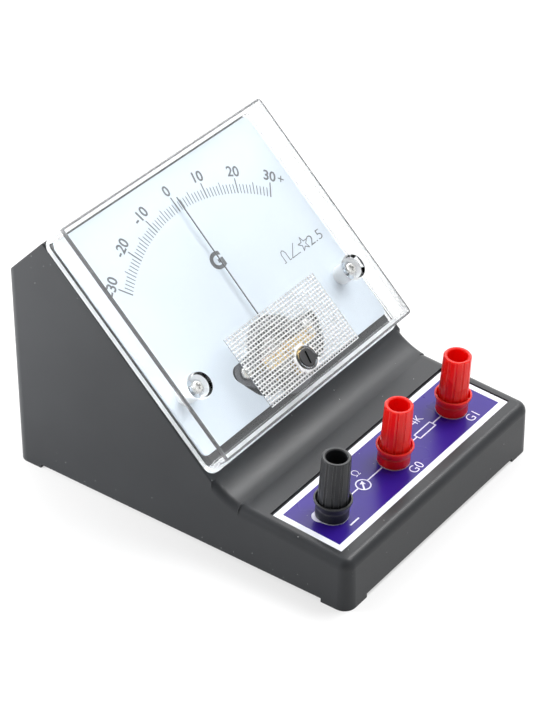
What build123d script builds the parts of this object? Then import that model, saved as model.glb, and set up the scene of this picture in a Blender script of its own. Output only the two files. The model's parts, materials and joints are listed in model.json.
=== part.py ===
from build123d import *
import math
import os

# Bench galvanometer with a wedge case, in millimetres.
# X runs across the front, Y from front to rear, Z up.
# The origin is on the table under the middle of the case.

# Case moulding
case_width = 100.0
case_depth = 128.0
case_corner_radius = 4.0
case_draft = 0.7
case_wall = 2.2
deck_front_height = 18.0
deck_angle = 3.8
deck_wall = 2.6
deck_edge_radius = 3.2
slope_angle = 44.0
slope_top_height = 85.8
slope_top_setback = 16.0
valley_radius = 19.5
valley_edge_radius = 2.4
slope_edge_radius = 0.5
valley_trim_width = 3.4
valley_trim_length = 2.6
foot_length = 9.8
foot_height = 1.4

# Base plate and its screws
base_plate_thickness = 2.0
base_plate_lift = 1.9
base_plate_clearance = 0.3
pillar_radius = 3.6
pillar_height = 8.0
base_screw_radius = 1.25
base_screw_length = 6.0
base_screw_head_radius = 2.6
base_screw_head_height = 1.5
base_screw_cross = 0.9
base_screw_tip_gap = 0.5
base_plate_corner_radius = 1.0
pillar_sink = 0.5

# Recess in the deck and the printed label that lies in it
recess_side_margin = 4.35
recess_length = 25.9
recess_front_margin = 5.6
recess_depth = 0.9
label_thickness = 0.5
label_gap_side = 0.35
label_gap_rear = 0.9
label_gap_front = 0.25
label_border = 2.1
print_thickness = 0.04

# Clearances of screws and threads, and the shape of screw ends
thread_clearance = 0.05
screw_hole_clearance = 0.3
screw_end_gap = 0.5
screw_tip_radius = 0.3
screw_neck = 0.2

# Binding posts, from left to right
post_names = ["minus", "g0", "g1"]
post_left_margin = 11.95
post_right_margin = 14.95
# The middle post stands this far right of halfway between the outer two
post_middle_shift = 0.1
post_row_distance = 17.5
cap_lifts = [0.9, 0.3, 0.0]
stud_radius = 1.95
stud_tail = 11.0
stud_reach = 9.5
stud_flange_radius = 3.4
stud_flange_height = 1.2
stud_hole_clearance = 0.25
collar_radius = 5.1
collar_rim_radius = 5.9
collar_height = 6.6
collar_rim_height = 0.5
collar_flare_height = 2.4
collar_rim_wall = 0.5
collar_foot_edge = 0.4
collar_rim_edge = 0.15
dish_depth = 3.2
dish_clearance = 0.35
dish_step = 0.6
flange_clearance = 0.1
stud_end_chamfer = 0.3
clamp_washer_radius = 4.2
clamp_washer_thickness = 0.6
cap_length = 17.4
cap_bottom_radius = 4.75
cap_top_radius = 4.4
cap_flutes = 12
flute_radius = 0.55
flute_depth = 0.26
cap_lip = 0.3
cap_foot_edge = 0.2
cap_bore_clearance = 0.2
insert_clearance = 0.02
nut_clearance = 0.02
washer_clearance = 0.1
socket_radius = 3.25
socket_depth = 8.6
socket_floor = 0.5
insert_radius = 3.0
screw_clearance = 0.06
nut_width = 7.0
nut_thickness = 2.2
washer_radius = 4.2
washer_thickness = 0.5
lug_radius = 3.6
lug_length = 9.5
lug_width = 3.0
lug_thickness = 0.5
lug_hole_clearance = 0.05

# Dial and its cut-out
dial_side_gap = 0.25
dial_top_gap = 0.4
dial_bottom_gap = 2.6
dial_thickness = 0.8
dial_standoff = 0.9
dial_corner_radius = 2.0
dial_rail_width = 4.0
dial_rail_inset = 5.0
dial_window_radius = 12.9
dial_lobe_offset = 18.2
dial_lobe_rise = 2.6
dial_lobe_radius = 2.9
dial_shoulder_offset = 11.5
dial_shoulder_drop = 1.3
dial_shoulder_radius = 7.2
scale_inner_radius = 53.5
scale_minor_radius = 56.6
scale_middle_radius = 57.6
scale_major_radius = 58.6
scale_step_angle = 1.335
scale_steps_each_way = 30
tick_width = 0.28
tick_major_width = 0.42

# Clear cover
cover_side_margin = 1.55
cover_bottom_margin = 9.5
cover_top_margin = -0.1
cover_height = 10.3
cover_wall = 1.8
cover_front = 2.0
cover_draft = 1.0
cover_corner_radius = 3.4
cover_front_corner_radius = 1.3
cover_inner_corner_radius = 0.5
cover_lip_side = 0.5
cover_lip_bottom = 1.2
cover_lip_height = 1.2
cover_front_edge = 0.3
cover_screw_inset = 9.05
cover_screw_drop = 61.0
well_radius = 4.0
well_floor_radius = 2.8
well_depth = 2.9
well_wall = 1.0
boss_radius = 3.2
boss_step = 1.2
well_top_gap = 0.2
cover_screw_clearance = 0.1
prism_width = 45.3
prism_length = 24.9
prism_top_drop = 54.6
prism_height = 0.35
cover_screw_radius = 1.2
cover_screw_head_radius = 2.0
cover_screw_head_height = 1.2
cover_screw_length = 13.0
screw_boss_radius = 3.0
screw_boss_depth = 7.0
rail_sink = 0.1
cross_width = 0.7
cross_length = 2.3
cross_depth = 0.7

# Zero adjuster in the cover
adjuster_reach = 5.35
adjuster_hole_radius = 2.05
adjuster_head_radius = 3.05
adjuster_head_height = 1.1
adjuster_slot_length = 4.2
adjuster_slot_width = 0.8
adjuster_slot_depth = 0.7
adjuster_slot_turn = -12.6
adjuster_ring_radius = 3.9
adjuster_ring_height = 0.85
adjuster_nub_reach = 4.2
adjuster_nub_width = 1.1
adjuster_nub_turn = -20.0
adjuster_pin_throw = 1.5
adjuster_pin_radius = 0.55
adjuster_pin_overlap = 0.3
adjuster_edge_radius = 0.25
adjuster_nub_start = 1.0
adjuster_snap_radius = 2.45
adjuster_snap_height = 0.35
turning_clearance = 0.08
end_clearance = 0.06

# Movement, measured from the slope and from its own axis
pivot_drop = 68.85
needle_rest_turn = -0.9
frame_flange_radius = 12.95
frame_flange_thickness = 0.7
frame_ear_radius = 4.0
frame_barrel_radius = 12.5
frame_barrel_wall = 0.9
frame_depth = 18.4
frame_floor = 1.8
frame_hole_clearance = 0.25
frame_screw_offset = 15.8
frame_screw_rise = 1.7
frame_screw_radius = 1.2
frame_screw_head_radius = 2.0
frame_screw_head_height = 1.0
frame_screw_length = 7.0
frame_screw_cross = 0.6
frame_screw_clearance = 0.1
yoke_inner_radius = 9.3
yoke_thickness = 2.2
yoke_height = 10.6
core_radius = 6.0
core_drop = 0.6
spacer_width = 2.4
spacer_height = 3.0
coil_side_gap = 0.45
coil_end_gap = 0.45
former_thickness = 0.4
former_width = 4.0
winding_thickness = 1.5
winding_width = 3.4
winding_edge_radius = 0.6
hub_radius = 1.0
hub_height = 3.7
lower_hub_height = 1.9
pivot_radius = 0.3
pivot_length = 0.6
pivot_point = 0.2
jewel_clearance = 0.06
jewel_end_gap = 0.1
jewel_slot_width = 0.5
jewel_slot_depth = 0.5
jewel_screw_radius = 1.25
jewel_screw_height = 2.1
lower_jewel_height = 4.0
bridge_span = 10.4
bridge_width = 4.0
bridge_thickness = 0.9
bridge_height = 5.6
bridge_pillar_radius = 1.1
bridge_screw_head_radius = 1.1
bridge_screw_head_height = 0.6
bridge_screw_slot_width = 0.35
bridge_screw_slot_floor = 0.3
bridge_hole_clearance = 0.03
needle_height = 3.15
needle_radius = 0.22
needle_length = 57.6
pointer_ring_radius = 1.9
pointer_ring_thickness = 0.5
tail_radius = 0.3
tail_length = 8.2
side_arm_length = 4.6
tail_weight_distance = 6.4
tail_weight_radius = 1.0
side_weight_radius = 0.7
side_weight_length = 1.2
spring_inner_radius = 1.0
spring_outer_radius = 3.2
spring_turns = 3.0
spring_strip = 0.14
spring_height = 0.4
spring_hub_clearance = 0.02
spring_anchor_gap = 0.3
lever_thickness = 0.4
lever_lift = 0.2
lever_ring_wall = 1.1
fork_wall = 0.7
fork_clearance = 0.1
fork_tip = 0.5
fork_root = 0.9
lever_tab_width = 1.2
tag_width = 2.6
tag_length = 3.4
tag_thickness = 0.5
tag_offset = 6.5

# Wiring under the deck
wire_radius = 0.6
wire_bend_radius = 3.5
wire_tail = 3.0
wire_floor_gap = 4.5
wire_end_dip = 1.5
wire_lug_margin = 0.4
resistor_radius = 1.5
resistor_length = 7.0
resistor_edge_radius = 0.5
lead_margin = 0.6
lead_radius = 0.35

# Weights of brass and aluminium, in grams per cubic millimetre
brass_density = 0.0085
aluminium_density = 0.0027

front_y = -case_depth / 2
rear_y = case_depth / 2
slope_turn = math.radians(slope_angle)
deck_turn = math.radians(deck_angle)
slope_up = (math.cos(slope_turn), math.sin(slope_turn))
slope_out = (-math.sin(slope_turn), math.cos(slope_turn))
deck_back = (math.cos(deck_turn), math.sin(deck_turn))
deck_out = (-math.sin(deck_turn), math.cos(deck_turn))
slope_top = (rear_y - slope_top_setback, slope_top_height)
slope_drop = slope_top_height - deck_front_height - (slope_top[0] - front_y) * math.tan(deck_turn)
slope_length = slope_drop / (slope_up[1] - slope_up[0] * math.tan(deck_turn))

# Sizes that follow from what each piece lies in
recess_width = case_width - 2 * recess_side_margin
post_left_x = -recess_width / 2 + post_left_margin
post_right_x = recess_width / 2 - post_right_margin
post_middle_x = (post_left_x + post_right_x) / 2 + post_middle_shift
resistor_span = post_right_x - post_middle_x
cover_width = case_width - 2 * cover_side_margin
cover_length = slope_length - cover_top_margin - cover_bottom_margin
cover_screw_offset = cover_width / 2 - cover_screw_inset
dial_width = cover_width - 2 * (cover_wall + dial_side_gap)
dial_top_margin = cover_top_margin + cover_wall + dial_top_gap
dial_length = cover_length - 2 * cover_wall - dial_top_gap - dial_bottom_gap

slope_plane = Plane(
    origin=(0, slope_top[0], slope_top[1]),
    x_dir=(1, 0, 0),
    z_dir=(0, slope_out[0], slope_out[1]),
)
deck_plane = Plane(
    origin=(0, front_y, deck_front_height),
    x_dir=(1, 0, 0),
    z_dir=(0, deck_out[0], deck_out[1]),
)
movement_plane = Plane(
    origin=slope_plane.from_local_coords((0, -pivot_drop, 0)),
    x_dir=(1, 0, 0),
    z_dir=slope_plane.z_dir,
)


def on_plane(plane, shape):
    return plane.location * shape


def rod(radius, bottom, top, x=0.0, y=0.0):
    return Pos(x, y, (bottom + top) / 2) * Cylinder(radius, top - bottom)


def tube(outer, inner, bottom, top, x=0.0, y=0.0):
    return rod(outer, bottom, top, x, y) - rod(inner, bottom - 1, top + 1, x, y)


def slab(width, length, bottom, top, x=0.0, y=0.0):
    return Pos(x, y, (bottom + top) / 2) * Box(width, length, top - bottom)


def turned(points):
    # A lathe shape from radius and height pairs
    outline = make_face(Polyline(*[(r, 0, z) for r, z in points], close=True))
    return revolve(outline, Axis.Z)


def hull_plate(circles, bottom, top):
    # A flat plate whose outline wraps the given circles (x, y, radius)
    edges = []
    for x, y, radius in circles:
        edges += (Pos(x, y) * Circle(radius)).edges()
    outline = make_face(make_hull(edges))
    return Pos(0, 0, bottom) * extrude(outline, amount=top - bottom)


def nodes_group(solids):
    return Compound(children=list(solids))


def shifted(point, direction, distance):
    return (point[0] + direction[0] * distance, point[1] + direction[1] * distance)


def crossing(point, direction, other, other_direction):
    # Where two lines in the side view meet
    cross = direction[0] * other_direction[1] - direction[1] * other_direction[0]
    gap = (other[0] - point[0], other[1] - point[1])
    along = (gap[0] * other_direction[1] - gap[1] * other_direction[0]) / cross
    return shifted(point, direction, along)


# Case

overshoot = 5.0
toe_length = 0.3
toe_sink = 0.05


def tapered_block(inset):
    outline = RectangleRounded(
        case_width - 2 * inset,
        case_depth - 2 * inset,
        case_corner_radius - inset,
    )
    height = slope_top_height + overshoot
    return extrude(outline, amount=height, taper=case_draft)


def deck_line(sink):
    return shifted((front_y, deck_front_height), deck_out, -sink)


def wedge_prism(inset, sink, rounding):
    # Side view of the sloping part, drawn in Y and Z and run across X
    top = shifted(shifted(slope_top, slope_out, -inset), slope_up, -inset)
    back = shifted(top, slope_out, -(slope_top_setback + 2 * overshoot) / math.sin(slope_turn))
    valley = crossing(top, slope_up, deck_line(sink), deck_back)
    half_turn = (slope_turn - deck_turn) / 2
    run = rounding * math.tan(half_turn) + toe_length
    toe = shifted(valley, deck_back, -run)
    points = [back, top, valley, toe, (toe[0], -overshoot), (back[0], -overshoot)]
    outline = make_face(Polyline(*points, close=True))
    if rounding > 0:
        inner_corner = outline.vertices().sort_by_distance(Vector(valley[0], valley[1], 0))[0]
        outline = fillet(inner_corner, rounding)
    return extrude(Plane.YZ * outline, amount=case_width, both=True)


def deck_prism(sink):
    valley = crossing(slope_top, slope_up, deck_line(0), deck_back)
    start = shifted(deck_line(sink), deck_back, -overshoot)
    end_y = valley[0] + overshoot
    end = crossing(start, deck_back, (end_y, 0), (0, 1))
    points = [start, end, (end_y, -overshoot), (start[0], -overshoot)]
    return extrude(Plane.YZ * make_face(Polyline(*points, close=True)), amount=case_width, both=True)


def side_edges(shape, lowest):
    # The lengthwise edges near the side walls, above the given height
    edges = []
    for edge in shape.edges():
        middle = edge.center()
        if middle.Z > lowest and abs(middle.X) > case_width / 2 - case_corner_radius:
            edges.append(edge)
    return edges


def case_outside():
    # The valley rounding runs a hair under the deck, so that the two surfaces cross cleanly
    wedge = tapered_block(0) & wedge_prism(0, toe_sink, valley_radius)
    valley = crossing(slope_top, slope_up, deck_line(toe_sink), deck_back)
    tangent = valley_radius * math.tan((slope_turn - deck_turn) / 2)
    split_y = valley[0] + tangent * slope_up[0]
    behind = Pos(0, split_y + case_depth / 2, 0) * Box(2 * case_width, case_depth, 4 * slope_top_height)
    valley_part = fillet(side_edges(wedge - behind, valley[1] - 1), valley_edge_radius)
    toe_y = valley[0] - tangent * deck_back[0]
    for side in (-1, 1):
        trim = Box(2 * valley_trim_width, 2 * valley_trim_length, 4 * slope_top_height)
        valley_part -= Pos(side * case_width / 2, toe_y, 0) * trim
    slope_part = wedge & behind
    ridge_and_sides = slope_part.faces().sort_by(Axis((0, 0, 0), (0, *slope_out)))[-1]
    top_edges = ridge_and_sides.edges().sort_by(Axis.Z)[1:]
    slope_part = fillet(top_edges, slope_edge_radius)
    deck = tapered_block(0) & deck_prism(0)
    deck_top = deck.faces().sort_by(Axis.Z)[-1]
    rim = deck_top.edges().sort_by(Axis.Y)[:-1]
    deck = fillet(rim, deck_edge_radius)
    return slope_part + valley_part + deck


def case_inside():
    block = tapered_block(case_wall)
    wedge = block & wedge_prism(case_wall, deck_wall, 0)
    deck = block & deck_prism(deck_wall)
    return wedge + deck


def pillar_places():
    # Middle of each corner pillar, just inside the walls
    reach_x = case_width / 2 - case_wall - pillar_radius + pillar_sink
    reach_y = case_depth / 2 - case_wall - pillar_radius + pillar_sink
    return [(side * reach_x, end * reach_y) for side in (-1, 1) for end in (-1, 1)]


base_plate_top = base_plate_lift + base_plate_thickness
adjuster_drop = pivot_drop + adjuster_reach
dial_top = dial_standoff + dial_thickness
cover_screw_places = [(side * cover_screw_offset, -cover_screw_drop) for side in (-1, 1)]
frame_screw_places = [(side * frame_screw_offset, frame_screw_rise) for side in (-1, 1)]
post_places = [(x, post_row_distance) for x in (post_left_x, post_middle_x, post_right_x)]


def make_case_shell():
    shell = case_outside() - case_inside()
    for x, y in pillar_places():
        pillar = rod(pillar_radius, base_plate_top, base_plate_top + pillar_height, x, y)
        shell += pillar & tapered_block(case_wall / 2)
        pilot = base_screw_radius + thread_clearance
        shell -= rod(pilot, 0, base_plate_top + base_screw_length, x, y)
    side_gap = slab(case_width + overshoot, case_depth - 2 * foot_length, -1, foot_height)
    end_gap = slab(case_width - 2 * foot_length, case_depth + overshoot, -1, foot_height)
    shell -= side_gap + end_gap

    recess_y = recess_front_margin + recess_length / 2
    recess = slab(recess_width, recess_length, -recess_depth, 1, 0, recess_y)
    shell -= on_plane(deck_plane, recess)
    for x, y in post_places:
        hole = rod(stud_radius + stud_hole_clearance, -deck_wall - 1, 1, x, y)
        shell -= on_plane(deck_plane, hole)

    dial_middle = -dial_top_margin - dial_length / 2
    rail_length = dial_length - 2 * dial_rail_inset
    for side in (-1, 1):
        rail_x = side * (dial_width / 2 - dial_rail_inset)
        rail = slab(dial_rail_width, rail_length, -rail_sink, dial_standoff, rail_x, dial_middle)
        shell += on_plane(slope_plane, rail)
    for x, y in cover_screw_places:
        boss = rod(screw_boss_radius, -screw_boss_depth, -case_wall / 2, x, y)
        pad = rod(screw_boss_radius, -rail_sink, dial_standoff, x, y)
        shell += on_plane(slope_plane, boss + pad)
        pilot_bottom = screw_end_gap - screw_boss_depth
        pilot = rod(cover_screw_radius + thread_clearance, pilot_bottom, dial_standoff + 1, x, y)
        shell -= on_plane(slope_plane, pilot)
    hole = rod(frame_barrel_radius + frame_hole_clearance, -case_wall - 2, 1)
    shell -= on_plane(movement_plane, hole)
    for x, y in frame_screw_places:
        boss_depth = frame_screw_length - frame_flange_thickness + 2 * screw_end_gap
        boss = rod(screw_boss_radius, -boss_depth, -case_wall / 2, x, y)
        hole = rod(frame_screw_radius + thread_clearance, screw_end_gap - boss_depth, 1, x, y)
        clear = rod(frame_barrel_radius + frame_hole_clearance, -boss_depth - 1, 1)
        shell += on_plane(movement_plane, boss - clear)
        shell -= on_plane(movement_plane, hole)
    return shell


def make_base_plate():
    lean = base_plate_top * math.tan(math.radians(case_draft))
    inset = case_wall + base_plate_clearance + lean
    width = case_width - 2 * inset
    length = case_depth - 2 * inset
    outline = RectangleRounded(width, length, base_plate_corner_radius)
    plate = Pos(0, 0, base_plate_lift) * extrude(outline, amount=base_plate_thickness)
    for x, y in pillar_places():
        plate -= rod(base_screw_radius + screw_hole_clearance, 0, base_plate_top + 1, x, y)
    return plate


def pan_screw(radius, length, head_radius, head_height, cross):
    # A screw with its head on top of height zero and its shank below
    head = Pos(0, 0, head_height / 2) * Cylinder(head_radius, head_height)
    top_edge = head.edges().group_by(Axis.Z)[-1]
    head = fillet(top_edge, head_height * 0.45)
    tip = radius - screw_tip_radius
    shank = turned(
        [
            (0, screw_neck),
            (radius, screw_neck),
            (radius, tip - length),
            (screw_tip_radius, -length),
            (0, -length),
        ]
    )
    screw = head + shank
    depth = cross * 0.9
    for turn in (0, 90):
        groove = Rot(0, 0, turn) * slab(cross * 3, cross, head_height - depth, head_height + 1)
        screw -= groove
    return screw


def make_base_screws():
    # The heads look down, inside the rim of the case
    screws = []
    for x, y in pillar_places():
        screw = pan_screw(
            base_screw_radius,
            base_screw_length + base_plate_thickness - base_screw_tip_gap,
            base_screw_head_radius,
            base_screw_head_height,
            base_screw_cross,
        )
        screws.append(Pos(x, y, base_plate_lift) * Rot(180, 0, 0) * screw)
    return nodes_group(screws)


# Label in the deck recess

label_top = label_thickness - recess_depth
label_width = recess_width - 2 * label_gap_side
label_length = recess_length - label_gap_rear - label_gap_front
label_y = recess_front_margin + label_gap_front + label_length / 2


def make_label_plate():
    plate = slab(label_width, label_length, -recess_depth, label_top, 0, label_y)
    for x, y in post_places:
        plate -= rod(stud_radius + stud_hole_clearance, -2, 1, x, y)
    return on_plane(deck_plane, plate)


def make_label_field():
    width = label_width - 2 * label_border
    length = label_length - 2 * label_border
    field = slab(width, length, label_top, label_top + print_thickness, 0, label_y)
    for x, y in post_places:
        field -= rod(collar_radius, -2, 1, x, y)
    return on_plane(deck_plane, field)


# Binding posts

dish_floor = label_top + collar_height - dish_depth
nut_1_top = -deck_wall - washer_thickness
lug_top = nut_1_top - nut_thickness
nut_2_top = lug_top - lug_thickness


def at_post(index, shape):
    x, y = post_places[index]
    return on_plane(deck_plane, Pos(x, y, 0) * shape)


def make_collar():
    rim = label_top + collar_height
    inner = collar_rim_radius - collar_rim_wall
    hole = stud_radius + stud_hole_clearance
    seat = dish_floor - stud_flange_height
    return turned(
        [
            (hole, label_top),
            (collar_radius - collar_foot_edge, label_top),
            (collar_radius, label_top + collar_foot_edge),
            (collar_radius, rim - collar_rim_height - collar_flare_height),
            (collar_rim_radius, rim - collar_rim_height),
            (collar_rim_radius, rim - collar_rim_edge),
            (collar_rim_radius - collar_rim_edge, rim),
            (inner, rim),
            (cap_bottom_radius + dish_clearance, dish_floor + dish_step),
            (cap_bottom_radius + dish_clearance, dish_floor),
            (stud_flange_radius + flange_clearance, dish_floor),
            (stud_flange_radius + flange_clearance, seat),
            (hole, seat),
        ]
    )


def make_stud():
    flange = rod(stud_flange_radius, dish_floor - stud_flange_height, dish_floor)
    shaft = rod(stud_radius, -stud_tail, stud_reach)
    shaft = chamfer(shaft.edges().filter_by(GeomType.CIRCLE), stud_end_chamfer)
    return flange + shaft


def make_clamp_washer(lift):
    bottom = dish_floor + lift
    return tube(
        clamp_washer_radius,
        stud_radius + screw_clearance,
        bottom,
        bottom + clamp_washer_thickness,
    )


def cap_heights(lift):
    # Bottom, floor of the top socket, and top of a cap
    bottom = dish_floor + clamp_washer_thickness + lift
    top = bottom + cap_length
    return bottom, top - socket_depth, top


def make_cap(lift):
    bottom, floor, top = cap_heights(lift)
    insert_top = floor - socket_floor
    bore = insert_radius + insert_clearance
    stud_hole = stud_radius + cap_bore_clearance
    body = turned(
        [
            (bore, bottom),
            (cap_bottom_radius - cap_foot_edge, bottom),
            (cap_bottom_radius, bottom + cap_foot_edge),
            (cap_top_radius, top - cap_lip),
            (cap_top_radius - cap_lip, top),
            (socket_radius + cap_lip, top),
            (socket_radius, top - cap_lip),
            (socket_radius, floor),
            (stud_hole, floor),
            (stud_hole, insert_top),
            (bore, insert_top),
        ]
    )
    lean = math.degrees(math.atan((cap_bottom_radius - cap_top_radius) / cap_length))
    middle_radius = (cap_bottom_radius + cap_top_radius) / 2 + flute_radius - flute_depth
    groove = Rot(0, -lean, 0) * Cylinder(flute_radius, cap_length * 1.2)
    groove = Pos(middle_radius, 0, (bottom + top) / 2) * groove
    for index in range(cap_flutes):
        body -= Rot(0, 0, index * 360 / cap_flutes) * groove
    return body


def make_insert(lift):
    bottom, floor, _ = cap_heights(lift)
    return tube(insert_radius, stud_radius + screw_clearance, bottom, floor - socket_floor)


def nut(top):
    outline = RegularPolygon(nut_width / 2, 6, major_radius=False)
    body = Pos(0, 0, top - nut_thickness) * extrude(outline, amount=nut_thickness)
    return body - rod(stud_radius + nut_clearance, top - nut_thickness - 1, top + 1)


def make_post_nuts():
    nuts = []
    for index in range(len(post_names)):
        nuts.append(at_post(index, nut(nut_1_top)))
        nuts.append(at_post(index, nut(nut_2_top)))
    return nodes_group(nuts)


def make_post_washers():
    hole = stud_radius + washer_clearance
    ring = tube(washer_radius, hole, -deck_wall - washer_thickness, -deck_wall)
    return nodes_group(at_post(index, ring) for index in range(len(post_names)))


def make_solder_lugs():
    ring = rod(lug_radius, nut_2_top, lug_top)
    tongue = slab(lug_width, lug_length, nut_2_top, lug_top, 0, lug_length / 2)
    lug = ring + tongue - rod(stud_radius + lug_hole_clearance, nut_2_top - 1, lug_top + 1)
    return nodes_group(at_post(index, lug) for index in range(len(post_names)))


# Dial plate and its printed scale


def make_dial_plate():
    middle = -dial_top_margin - dial_length / 2
    outline = Pos(0, middle) * RectangleRounded(dial_width, dial_length, dial_corner_radius)
    plate = Pos(0, 0, dial_standoff) * extrude(outline, amount=dial_thickness)
    window = rod(dial_window_radius, -1, dial_top + 1)
    for side in (-1, 1):
        lobe = (side * dial_lobe_offset, dial_lobe_rise, dial_lobe_radius)
        shoulder = (side * dial_shoulder_offset, -dial_shoulder_drop, dial_shoulder_radius)
        window += hull_plate([lobe, shoulder], -1, dial_top + 1)
    plate -= Pos(0, -pivot_drop, 0) * window
    for x, y in cover_screw_places:
        plate -= rod(cover_screw_radius + screw_hole_clearance, -1, dial_top + 1, x, y)
    return on_plane(slope_plane, plate)


def make_dial_scale():
    ticks = []
    for step in range(-scale_steps_each_way, scale_steps_each_way + 1):
        outer = scale_minor_radius
        width = tick_width
        if step % 5 == 0:
            outer = scale_middle_radius
        if step % 10 == 0:
            outer = scale_major_radius
            width = tick_major_width
        length = outer - scale_inner_radius
        tick = slab(width, length, dial_top, dial_top + print_thickness, 0, outer - length / 2)
        ticks.append(on_plane(movement_plane, Rot(0, 0, -step * scale_step_angle) * tick))
    return nodes_group(ticks)


# Clear cover with its two screw wells, zero-adjuster ring and prism patch


def cover_outline(inset, height, radius):
    # The cover's drafted outline at one height
    shrink = inset + height * math.tan(math.radians(cover_draft))
    outline = RectangleRounded(cover_width - 2 * shrink, cover_length - 2 * shrink, radius)
    return Pos(0, -cover_top_margin - cover_length / 2, height) * outline


def cover_outside():
    # The corners are round at the foot and nearly sharp in front
    foot = cover_outline(0, 0, cover_corner_radius)
    front = cover_outline(0, cover_height, cover_front_corner_radius)
    return loft([foot, front], ruled=True)


def cover_inside():
    foot = cover_outline(cover_wall, -1, cover_inner_corner_radius)
    front = cover_outline(cover_wall, cover_height - cover_front, cover_inner_corner_radius)
    return loft([foot, front], ruled=True)


def make_meter_cover():
    outer = cover_outside()
    rim = outer.faces().sort_by(Axis.Z)[-1].edges()
    outer = fillet(rim, cover_front_edge)
    lip_middle = -cover_top_margin - (cover_length + cover_lip_bottom) / 2
    lip = Pos(0, lip_middle) * RectangleRounded(
        cover_width + 2 * cover_lip_side,
        cover_length + cover_lip_bottom,
        cover_corner_radius,
    )
    outer += extrude(lip, amount=cover_lip_height)
    inside_top = cover_height - cover_front
    cover = outer - cover_inside()

    prism_y = -prism_top_drop - prism_length / 2
    prism_top = cover_height + prism_height
    cover += slab(prism_width, prism_length, inside_top, prism_top, 0, prism_y)
    ring_top = cover_height + adjuster_ring_height
    adjuster_y = -adjuster_drop
    cover += rod(adjuster_ring_radius, inside_top, ring_top, 0, adjuster_y)
    bowl = adjuster_head_radius + turning_clearance
    cover -= rod(bowl, cover_height, ring_top + 1, 0, adjuster_y)
    cover -= rod(adjuster_hole_radius, inside_top - 1, ring_top + 1, 0, adjuster_y)

    well_floor = cover_height - well_depth
    for x, y in cover_screw_places:
        cup = turned(
            [
                (0, dial_top),
                (boss_radius, dial_top),
                (boss_radius, well_floor - well_wall - boss_step),
                (well_radius + well_wall, cover_height - well_top_gap),
                (0, cover_height - well_top_gap),
            ]
        )
        well = turned(
            [
                (0, well_floor),
                (well_floor_radius, well_floor),
                (well_radius, cover_height),
                (well_radius, cover_height + 1),
                (0, cover_height + 1),
            ]
        )
        cover += Pos(x, y, 0) * cup
        cover -= Pos(x, y, 0) * well
        cover -= rod(cover_screw_radius + cover_screw_clearance, 0, cover_height, x, y)
    return on_plane(slope_plane, cover)


def make_cover_screws():
    screws = []
    seat = cover_height - well_depth
    for x, y in cover_screw_places:
        screw = pan_screw(
            cover_screw_radius,
            cover_screw_length,
            cover_screw_head_radius,
            cover_screw_head_height,
            cross_width,
        )
        screws.append(on_plane(slope_plane, Pos(x, y, seat) * screw))
    return nodes_group(screws)


def make_zero_adjuster():
    seat = cover_height + end_clearance
    head_top = seat + adjuster_head_height
    snap_top = cover_height - cover_front - end_clearance
    snap_bottom = snap_top - adjuster_snap_height
    body = rod(adjuster_head_radius, seat, head_top)
    body = fillet(body.edges().group_by(Axis.Z)[-1], adjuster_edge_radius)
    body += rod(adjuster_hole_radius - turning_clearance, snap_bottom, seat)
    body += rod(adjuster_snap_radius, snap_bottom, snap_top)
    nub_bottom = cover_height + adjuster_ring_height + end_clearance
    nub = slab(
        adjuster_nub_reach - adjuster_nub_start,
        adjuster_nub_width,
        nub_bottom,
        head_top,
        (adjuster_nub_reach + adjuster_nub_start) / 2,
        0,
    )
    body += Rot(0, 0, adjuster_nub_turn) * nub
    pin_bottom = lever_bottom - adjuster_pin_overlap
    body += rod(adjuster_pin_radius, pin_bottom, snap_bottom, 0, -adjuster_pin_throw)
    slot = slab(
        adjuster_slot_width,
        adjuster_slot_length,
        head_top - adjuster_slot_depth,
        head_top + 1,
    )
    body -= Rot(0, 0, adjuster_slot_turn) * slot
    return on_plane(movement_plane, Pos(0, -adjuster_reach, 0) * body)


# Movement, on its own axis above and below the slope

bridge_top = bridge_height + bridge_thickness
lever_bottom = bridge_top + lever_lift
core_bottom = core_drop - yoke_height - core_drop * 2
former_inner_half = core_radius + coil_side_gap
former_inner_top = -core_drop + coil_end_gap
former_inner_bottom = core_bottom - coil_end_gap
winding_inner_half = former_inner_half + former_thickness
winding_top = former_inner_top + former_thickness + winding_thickness
winding_bottom = former_inner_bottom - former_thickness - winding_thickness
hub_top = winding_top + hub_height
lower_hub_bottom = winding_bottom - lower_hub_height


def make_movement_frame():
    ears = [(x, y, frame_ear_radius) for x, y in frame_screw_places]
    flange = hull_plate([(0, 0, frame_flange_radius)] + ears, 0, frame_flange_thickness)
    barrel = rod(frame_barrel_radius, -frame_depth, frame_flange_thickness)
    frame = flange + barrel
    chamber = frame_barrel_radius - frame_barrel_wall
    frame -= rod(chamber, frame_floor - frame_depth, 0)
    frame -= rod(yoke_inner_radius, -1, frame_flange_thickness + 1)
    frame -= rod(jewel_screw_radius + thread_clearance, -frame_depth - 1, 0)
    for x, y in frame_screw_places:
        hole = frame_screw_radius + frame_screw_clearance
        frame -= rod(hole, -1, frame_flange_thickness + 1, x, y)
    return on_plane(movement_plane, frame)


def make_movement_screws():
    screws = []
    for x, y in frame_screw_places:
        screw = pan_screw(
            frame_screw_radius,
            frame_screw_length,
            frame_screw_head_radius,
            frame_screw_head_height,
            frame_screw_cross,
        )
        screws.append(on_plane(movement_plane, Pos(x, y, frame_flange_thickness) * screw))
    return nodes_group(screws)


def make_yoke_ring():
    ring = tube(yoke_inner_radius + yoke_thickness, yoke_inner_radius, -yoke_height, 0)
    return on_plane(movement_plane, ring)


def make_magnet_core():
    return on_plane(movement_plane, rod(core_radius, core_bottom, -core_drop))


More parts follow.
